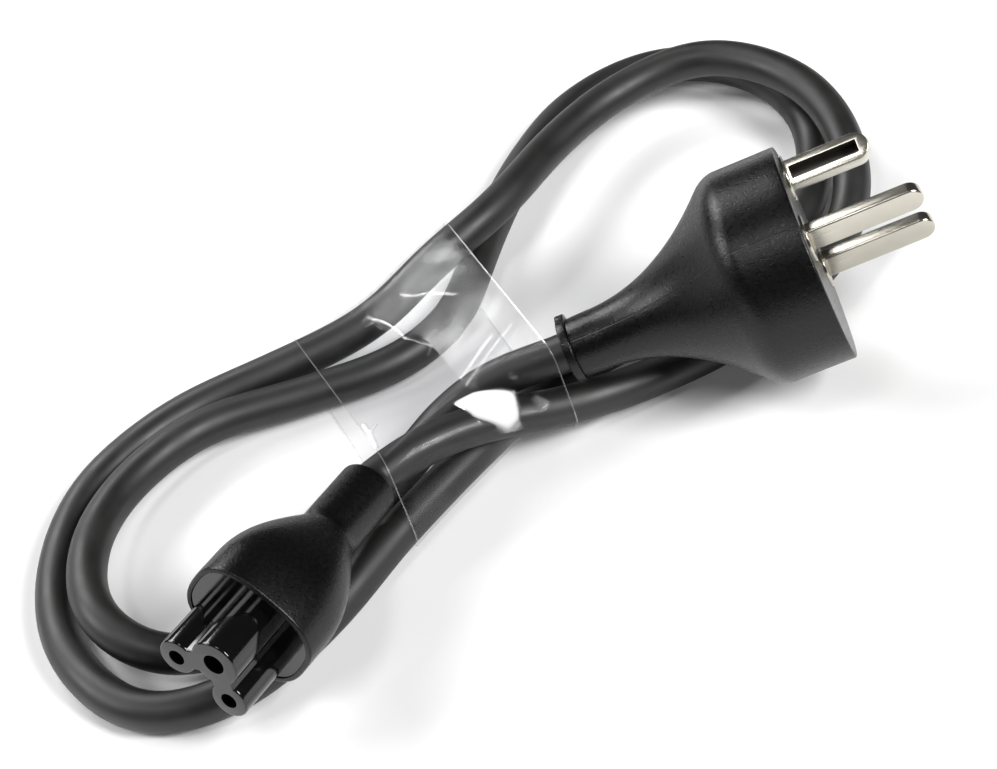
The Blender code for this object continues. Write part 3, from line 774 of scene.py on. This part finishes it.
# %% The earth pin's channel
CHANNEL_START = 0.0005
CHANNEL_STEPS = 16
channel_floor = -EARTH_DEPTH / 2 + EARTH_BACK
channel_top = PLUG_LENGTH + EARTH_LENGTH - EARTH_TIP
half = EARTH_CHANNEL / 2
channel_shape = [(half, EARTH_DEPTH), (-half, EARTH_DEPTH)]
channel_shape += arc((0.0, channel_floor + half), half, pi, 2 * pi, CHANNEL_STEPS)
channel_root = PLUG_LENGTH + FLANGE_PROUD + CHANNEL_START
rings = [[(x, y, z) for x, y in channel_shape] for z in (channel_root, channel_top)]
combine(earth, skin("channel_tool", rings, at), "DIFFERENCE")
combine(earth, flange("pin_earth_flange", at), "UNION")
channel_faces = [
    face.index
    for face in earth.data.polygons
    if abs(face.center.x) < half + MERGE
    and face.center.y > channel_floor - MERGE
    and channel_root - MERGE < face.center.z < channel_top - MERGE
    and face.normal.y > -0.5
    and abs(face.center.y - EARTH_DEPTH / 2) > MERGE
]
finish_piece(earth, "pin_earth", [nickel, channel_shade_metal], sharp=30.0)
# The channel's faces take the metal with painted shade.
for index in channel_faces:
    earth.data.polygons[index].material_index = 1

# %% [markdown]
# The connector's grip is a loft. It starts as a round sleeve on the cord and swells along a quarter
# sine into a soft rectangle at the front. A superellipse gives every section in between, because one
# power turns a circle into a rounded rectangle.

# %% The connector's grip
SLEEVE_RADIUS = 0.0049
SLEEVE_LENGTH = 0.0130
GRIP_TAPER = 0.0160
GRIP_LENGTH = 0.0217
GRIP_HALF_WIDTH = 0.0108
GRIP_HALF_HEIGHT = 0.0086
GRIP_RISE = 0.0002
GRIP_SQUARENESS = 2.7
GRIP_EDGE = 0.0004
GRIP_RIM = 0.0008
GRIP_SIDES = 128
SLEEVE_EDGE = 0.0004
SLEEVE_STEPS, SWELL_STEPS, EDGE_STEPS = 8, 40, 4
PLATE_RECESS = 0.0002
PLATE_THICKNESS = 0.0040
GRIP_FRONT = SLEEVE_LENGTH + GRIP_LENGTH
PLATE_FRONT = GRIP_FRONT - PLATE_RECESS


def grip_section(height, inset=0.0, level=None):
    share = min(max((height - SLEEVE_LENGTH) / GRIP_TAPER, 0.0), 1.0)
    swell = sin(share * pi / 2)
    wide = SLEEVE_RADIUS + (GRIP_HALF_WIDTH - SLEEVE_RADIUS) * swell - inset
    tall = SLEEVE_RADIUS + (GRIP_HALF_HEIGHT - SLEEVE_RADIUS) * swell - inset
    power = 2 / (2 + (GRIP_SQUARENESS - 2) * swell)
    ring = []
    for step in range(GRIP_SIDES):
        turn = 2 * pi * step / GRIP_SIDES
        across, up = cos(turn), sin(turn)
        x = wide * abs(across) ** power * (1 if across > 0 else -1)
        y = tall * abs(up) ** power * (1 if up > 0 else -1)
        ring.append((x, y + GRIP_RISE * swell, height if level is None else level))
    return ring


sleeve_bore = CORD_DIAMETER / 2
mouth = [(sleeve_bore - CORD_SEAT, MOUTH_DEPTH), (sleeve_bore + CORD_SEAT, 0.0)]
mouth += arc((SLEEVE_RADIUS - SLEEVE_EDGE, SLEEVE_EDGE), SLEEVE_EDGE, -pi / 2, 0.0, EDGE_STEPS)
rings = [circle(radius, height, GRIP_SIDES) for radius, height in mouth]
rings += [grip_section(SLEEVE_LENGTH * step / SLEEVE_STEPS) for step in range(1, SLEEVE_STEPS)]
for step in range(SWELL_STEPS + 1):
    rings.append(grip_section(SLEEVE_LENGTH + GRIP_TAPER * step / SWELL_STEPS))
for step in range(EDGE_STEPS + 1):
    turn = step * pi / 2 / EDGE_STEPS
    inset, drop = GRIP_EDGE * (1 - cos(turn)), GRIP_EDGE * (1 - sin(turn))
    rings.append(grip_section(GRIP_FRONT, inset, GRIP_FRONT - drop))
rings.append(grip_section(GRIP_FRONT, GRIP_RIM))
rings.append(grip_section(GRIP_FRONT, GRIP_RIM, PLATE_FRONT - PLATE_THICKNESS))
grip = skin("connector_grip", rings, connector_frame)
finish_piece(grip, "connector_body", [grip_skin])

# %% [markdown]
# The insert is one moulding: a base plate and three round barrels joined by webs, like a clover
# leaf, each with a blind hole. The barrels and webs are made with a rounded front edge, because it
# is these edges that catch the light, and joined one after another. Then the holes are cut.

# %% The connector's insert
BARREL_LENGTH = 0.0100
BARREL_SPACING = 0.0100
BARREL_DROP = 0.0034
BARREL_RADIUS = 0.0031
EARTH_BARREL_RISE = 0.00487
EARTH_BARREL_RADIUS = 0.0040
WEB_WIDTH = 0.0038
HOLE_RADIUS = 0.00135
EARTH_HOLE_RADIUS = 0.00175
HOLE_DEPTH = 0.0034
INSERT_GAP = 0.0001
BARREL_EDGE = 0.00035
BARREL_EDGE_STEPS = 5
POST_SIDES = 96
ROOT_DEPTH = 0.001
CUT_MARGIN = 0.001
BARREL_FRONT = PLATE_FRONT + BARREL_LENGTH
line_at = Vector((-BARREL_SPACING / 2, -BARREL_DROP))
neutral_at = Vector((BARREL_SPACING / 2, -BARREL_DROP))
earth_at = Vector((0.0, EARTH_BARREL_RISE - BARREL_DROP))
barrel_root = PLATE_FRONT - ROOT_DEPTH


def post(name, centre, radius, low, high, edge=0.0):
    rings = [circle(radius, low, POST_SIDES, centre)]
    if edge:
        corner = arc((radius - edge, high - edge), edge, 0.0, pi / 2, BARREL_EDGE_STEPS)
        rings += [circle(out, height, POST_SIDES, centre) for out, height in corner]
    else:
        rings.append(circle(radius, high, POST_SIDES, centre))
    return skin(name, rings, connector_frame)


def web(foot):
    """A wall from a barrel to the middle one, its front edges rounded as the barrels' are."""
    side = (earth_at - foot).normalized().orthogonal()
    half_width = WEB_WIDTH / 2
    middle = (half_width - BARREL_EDGE, BARREL_FRONT - BARREL_EDGE)
    corner = arc(middle, BARREL_EDGE, 0.0, pi / 2, BARREL_EDGE_STEPS)
    rings = []
    for out, height in [(half_width, barrel_root), *corner]:
        corners = [foot - side * out, earth_at - side * out, earth_at + side * out, foot + side * out]
        rings.append([(corner.x, corner.y, height) for corner in corners])
    return skin("web", rings, connector_frame)


plate_back = PLATE_FRONT - PLATE_THICKNESS + INSERT_GAP
plate = [grip_section(GRIP_FRONT, GRIP_RIM + INSERT_GAP, level) for level in (plate_back, PLATE_FRONT)]
insert = skin("connector_barrels", plate, connector_frame)
barrel = post("barrel", earth_at, EARTH_BARREL_RADIUS, barrel_root, BARREL_FRONT, BARREL_EDGE)
combine(insert, barrel, "UNION")
for foot in (line_at, neutral_at):
    barrel = post("barrel", foot, BARREL_RADIUS, barrel_root, BARREL_FRONT, BARREL_EDGE)
    combine(insert, barrel, "UNION")
    combine(insert, web(foot), "UNION")
for centre, radius in ((line_at, HOLE_RADIUS), (neutral_at, HOLE_RADIUS), (earth_at, EARTH_HOLE_RADIUS)):
    hole = post("hole", centre, radius, BARREL_FRONT - HOLE_DEPTH, BARREL_FRONT + CUT_MARGIN)
    combine(insert, hole, "DIFFERENCE")
finish_piece(insert, "connector_insert", [polished], sharp=35.0)

# %% [markdown]
# The film is one closed band that is pulled tight round the bundle. Where it crosses the strands it
# follows them, and between them it runs straight, so each section is the tightest loop round the
# cut strands. The outline comes from a rule: for each direction, the point of any strand that
# reaches furthest that way. The loop's points are then spread evenly, so that creases can be drawn.

# %% The film's loops
BAND_TURN = radians(15.5)
BAND_START = -0.0270
BAND_END = 0.0055
BAND_SECTIONS = 116
BAND_ANGLES = 360
LOOP_POINTS = 420
LOOP_EASING = 12
FILM_OFFSET = 0.00045
FILM_THICKNESS = 0.00008
FILM_FLOOR_GAP = 0.00025
SPREAD_MARGIN = 1.00001
band_along = Vector((cos(BAND_TURN), sin(BAND_TURN), 0.0))
band_across = Vector((-sin(BAND_TURN), cos(BAND_TURN), 0.0))


def strand_cuts(station):
    cuts = []
    for start, stop in zip(centre_line, centre_line[1:]):
        before = (start - LAYOUT).dot(band_along) - station
        after = (stop - LAYOUT).dot(band_along) - station
        if before * after <= 0.0 and before != after:
            place = start.lerp(stop, before / (before - after)) - LAYOUT
            slant = abs((stop - start).normalized().dot(band_along))
            cuts.append((place.dot(band_across), place.z, slant))
    return cuts


def loop(station):
    reach = CORD_DIAMETER / 2 + FILM_OFFSET
    cuts = strand_cuts(station)
    points = []
    for step in range(BAND_ANGLES):
        turn = 2 * pi * step / BAND_ANGLES
        best = None
        for across, height, slant in cuts:
            wide = reach / slant
            support = hypot(wide * cos(turn), reach * sin(turn))
            distance = across * cos(turn) + height * sin(turn) + support
            if best is None or distance > best[0]:
                side = across + wide * wide * cos(turn) / support
                best = (distance, side, height + reach * reach * sin(turn) / support)
        points.append(Vector((best[1], max(best[2], FILM_FLOOR_GAP))))
    return points


def spread(points, count):
    ring = points + [points[0]]
    length = sum((b - a).length for a, b in zip(ring, ring[1:]))
    return spaced(ring, length / count * SPREAD_MARGIN)[:count]


stations = [
    BAND_START + (BAND_END - BAND_START) * step / (BAND_SECTIONS - 1) for step in range(BAND_SECTIONS)
]
loops = [spread(loop(station), LOOP_POINTS) for station in stations]
for _ in range(LOOP_EASING):
    inner = [
        [(a + 2 * b + c) / 4 for a, b, c in zip(before, ring, after)]
        for before, ring, after in zip(loops, loops[1:], loops[2:])
    ]
    loops = [loops[0], *inner, loops[-1]]
middle_loop = loops[BAND_SECTIONS // 2]
around = sum((b - a).length for a, b in zip(middle_loop, middle_loop[1:] + middle_loop[:1]))
print(f"The band is {(BAND_END - BAND_START) * 1000:.0f} mm wide and {around * 1000:.0f} mm round")

# %% [markdown]
# Pulled film creases where it is pinched and shows long tension lines between the strands. A crease
# is a low ridge along a line on the band, given by places along and across it, with its half width
# and the strength of the painted highlight along it. One fold bulges over the lower strands and gets
# a painted glint. Broad faint patches are painted sheen on the upper side of the film, and the band's
# two edges get a thin painted highlight.

# %% Creases and the film's skin
CREASES = [
    ([(-0.0079, 0.0180), (-0.0066, 0.0157), (-0.0042, 0.0135), (-0.0010, 0.0091)], 0.00018, 0.09),
    ([(-0.0145, 0.0180), (-0.0128, 0.0145), (-0.0119, 0.0111), (-0.0116, 0.0077)], 0.00018, 0.14),
    ([(-0.0116, 0.0077), (-0.0089, 0.0022), (-0.0104, 0.0004)], 0.00018, 0.12),
    ([(-0.0262, -0.0095), (-0.0262, -0.0125), (-0.0267, -0.0168)], 0.00035, 0.60),
    ([(-0.0246, -0.0110), (-0.0262, -0.0125)], 0.00030, 0.40),
    ([(-0.0255, -0.0172), (-0.0215, -0.0152), (-0.0006, -0.0050)], 0.00025, 0.04),
    ([(-0.0262, -0.0195), (-0.0109, -0.0121)], 0.00025, 0.10),
    ([(-0.0240, -0.0180), (-0.0074, -0.0104), (0.0030, -0.0055)], 0.00020, 0.03),
    ([(-0.0083, -0.0133), (-0.0040, -0.0154), (-0.0025, -0.0167)], 0.00030, 0.20),
    ([(-0.0025, -0.0167), (-0.0029, -0.0189), (-0.0041, -0.0209), (-0.0063, -0.0211)], 0.00030, 0.20),
    ([(-0.0200, -0.0285), (-0.0077, -0.0243), (0.0043, -0.0263)], 0.00040, 0.10),
]
SHINING_FOLD = [
    (-0.0118, -0.0140), (-0.0083, -0.0133), (-0.0040, -0.0154), (-0.0025, -0.0167),
    (-0.0029, -0.0189), (-0.0038, -0.0206), (-0.0063, -0.0211), (-0.0102, -0.0188),
]
FOLD_SOFTNESS = 0.00025
# How white the painted glint on the fold is.
FOLD_PAINTED_GLINT = 0.80
# Patches of painted sheen: place, size and strength.
PAINTED_SHEEN_PATCHES = [
    ((-0.0200, 0.0155), (0.0080, 0.0035), 0.030),
    ((-0.0010, 0.0175), (0.0075, 0.0055), 0.030),
    ((-0.0190, -0.0290), (0.0075, 0.0050), 0.025),
    ((-0.0060, 0.0010), (0.0090, 0.0050), 0.035),
]
# Painted highlight along the band's two edges.
EDGE_PAINTED_HIGHLIGHT = 0.22
WAVE_LIFT, RIDGE_LIFT, FOLD_LIFT = 0.00008, 0.00020, 0.00030
WAVE_SCALE, SHEEN_MOTTLE_SCALE = 90, 260
UPPER_SIDE = 0.1
FILM_LOWEST = 0.0001
LARGEST_POWER = 20.0


def line_level(point, corners, width):
    best = 1.0
    for start, stop in zip(corners, corners[1:]):
        start, stop = Vector(start), Vector(stop)
        along = stop - start
        share = min(max((point - start).dot(along) / along.length_squared, 0.0), 1.0)
        best = min(best, (point - start - along * share).length)
    return exp(-((best / width) ** 2))


def inside(point, corners):
    """One well inside the convex outline, falling to zero over its edge and round its corners."""
    spill = 0.0
    middle = sum((Vector(corner) for corner in corners), Vector((0.0, 0.0))) / len(corners)
    for start, stop in zip(corners, corners[1:] + corners[:1]):
        out = (Vector(stop) - Vector(start)).orthogonal().normalized()
        out = out if out.dot(Vector(start) - middle) > 0 else -out
        spill += exp(min(out.dot(point - Vector(start)) / FOLD_SOFTNESS, LARGEST_POWER))
    return 1 / (1 + spill**2)


def painted_sheen_level(point, sheen):
    (along, across), (length, width), level = sheen
    away = hypot((point.x - along) / length, (point.y - across) / width)
    mottle = noise.noise(Vector((point.x, point.y, 0.0)) * SHEEN_MOTTLE_SCALE)
    return level * exp(-(away**2)) * (0.6 + 0.8 * mottle)


def film_rings():
    rings, painted_highlights = [], []
    for number, (station, ring) in enumerate(zip(stations, loops)):
        edge = EDGE_PAINTED_HIGHLIGHT if number in (0, len(stations) - 1) else 0.0
        made = []
        for index, (side, top) in enumerate(ring):
            before, after = ring[index - 1], ring[(index + 1) % LOOP_POINTS]
            out = Vector((after.y - before.y, before.x - after.x)).normalized()
            point = Vector((station, side))
            ridge = fold = sheen = 0.0
            if out.y > UPPER_SIDE:
                levels = [line_level(point, line, width) * level for line, width, level in CREASES]
                ridge = min(sum(levels), 1.0)
                fold = inside(point, SHINING_FOLD)
                sheen = max(sum(painted_sheen_level(point, sheen) for sheen in PAINTED_SHEEN_PATCHES), 0.0)
            wave = noise.noise(Vector((station * WAVE_SCALE, side * WAVE_SCALE, top * WAVE_SCALE)))
            lift = WAVE_LIFT * (1 + wave) + RIDGE_LIFT * ridge + FOLD_LIFT * fold
            here = Vector((side + out.x * lift, max(top + out.y * lift, FILM_LOWEST)))
            place = LAYOUT + band_along * station + band_across * here.x
            made.append(place + Vector((0.0, 0.0, here.y)))
            # Painted highlights on creases and edges, painted glint on the fold, painted sheen in
            # patches.
            painted_highlights.append(min(max(ridge, fold * FOLD_PAINTED_GLINT, edge) + sheen, 1.0))
        rings.append(made)
    return rings, painted_highlights


rings, painted_highlights = film_rings()
film = skin("film_band", rings, caps=False)
painted_highlight_values = film.data.attributes.new("painted_highlight", "FLOAT", "POINT")
for item, value in zip(painted_highlight_values.data, painted_highlights):
    item.value = value
film.data.materials.append(film_clear)
film.data.materials.append(film_edge)
wall = film.modifiers.new("Wall", "SOLIDIFY")
wall.thickness = FILM_THICKNESS
wall.offset = -1.0
wall.material_offset_rim = 1
applied(film)
finish_piece(film, "wrap_film", [film_clear, film_edge], sharp=60.0)

# %% [markdown]

# %% The soft pieces
print("The cord and the film are built")

# %% [markdown]
# The picture was taken on a white table in a dark room. Where a strand runs and where its highlight
# lies tell where each light stood: the strongest at the front right, which throws the plug's
# shadow to the far left, a broad one behind on the left, one low on the left that lights the plug's
# taper, and a weak one overhead. The floor is lit a little past white, as it is in a catalogue
# picture, so that only the deep shadows stay grey.

# %% Floor, lights and surroundings
FLOOR_HALF = 3.0
FLOOR_SHADES = (0.90, 0.90, 0.90), (0.92, 0.92, 0.92)
FLOOR_ROUGH = 0.9
# The floor also glows faintly: painted light that lifts the shadows on it.
FLOOR_GLOW = 0.07
ROOM_LIGHT = 0.05


def floor_finish():
    finish = Finish("floor_white")
    cloud = finish.noise(finish.add("ShaderNodeTexCoord", output=3), 3.0, 2.0)
    white = finish.tint(cloud, *FLOOR_SHADES)
    glow = {"Emission Color": white, "Emission Strength": FLOOR_GLOW}
    return finish.done(finish.principled({"Base Color": white, "Roughness": FLOOR_ROUGH, **glow}))


bm = bmesh.new()
bmesh.ops.create_grid(bm, x_segments=1, y_segments=1, size=FLOOR_HALF)
floor = link("floor", bm)
floor.data.materials.append(floor_finish())


def area_light(name, at, size, power, target=(0.0, 0.0, 0.0)):
    data = bpy.data.lights.new(name, "AREA")
    data.shape = "RECTANGLE"
    data.size, data.size_y = size
    data.energy = power
    light = bpy.data.objects.new(name, data)
    bpy.context.scene.collection.objects.link(light)
    light.location = at
    light.rotation_euler = (Vector(target) - Vector(at)).to_track_quat("-Z", "Y").to_euler()
    return light


area_light("right", (0.72, -0.58, 0.91), (0.45, 0.45), 17.0)
area_light("back", (-0.56, 0.88, 0.80), (0.6, 0.5), 10.0)
area_light("left", (-1.07, 0.14, 0.72), (0.45, 0.45), 7.0)
area_light("overhead", (-0.35, -0.40, 1.18), (0.25, 0.25), 2.5)
world = bpy.data.worlds.new("surroundings")
bpy.context.scene.world = world
world.use_nodes = True
surroundings = world.node_tree.nodes["Background"]
surroundings.inputs["Color"].default_value = (1.0, 1.0, 1.0, 1.0)
surroundings.inputs["Strength"].default_value = ROOM_LIGHT
bpy.context.scene.view_settings.view_transform = "Standard"
print("Lights are in place")
